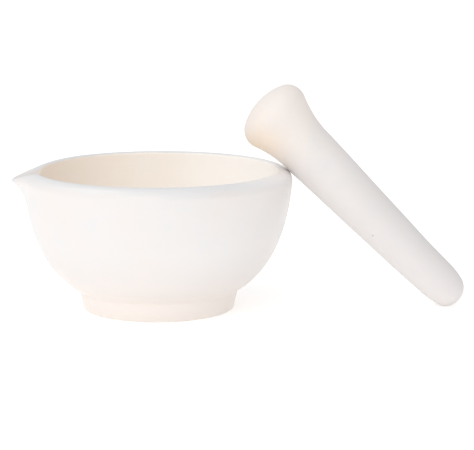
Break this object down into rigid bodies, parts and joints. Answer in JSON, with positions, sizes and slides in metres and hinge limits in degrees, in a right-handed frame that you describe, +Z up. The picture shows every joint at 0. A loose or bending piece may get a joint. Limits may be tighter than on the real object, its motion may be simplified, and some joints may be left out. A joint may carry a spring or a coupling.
{
  "type": "mortar and pestle",
  "caption": "Round porcelain bowl on a raised foot with a pouring spout, and a club-shaped pestle leaning on its rim.",
  "frame": {"origin": "centre of the mortar's foot, on the surface that it stands on", "axes": "+Z up along the mortar's axis, +X towards the side of the rim that the pestle leans on; the spout points to -X"},
  "size_m": [0.2022, 0.12, 0.1002],
  "materials": {
    "mortar_porcelain": "satin",
    "pestle_porcelain": "matte"
  },
  "bodies": {
    "mortar": {"mortar": "mortar_porcelain"},
    "pestle": {"pestle": "pestle_porcelain"}
  },
  "joints": [
    {"name": "pestle_lift", "type": "slide", "parent": "mortar", "child": "pestle", "axis": [0, 0, 1], "range_m": [0, 0.1]}
  ]
}
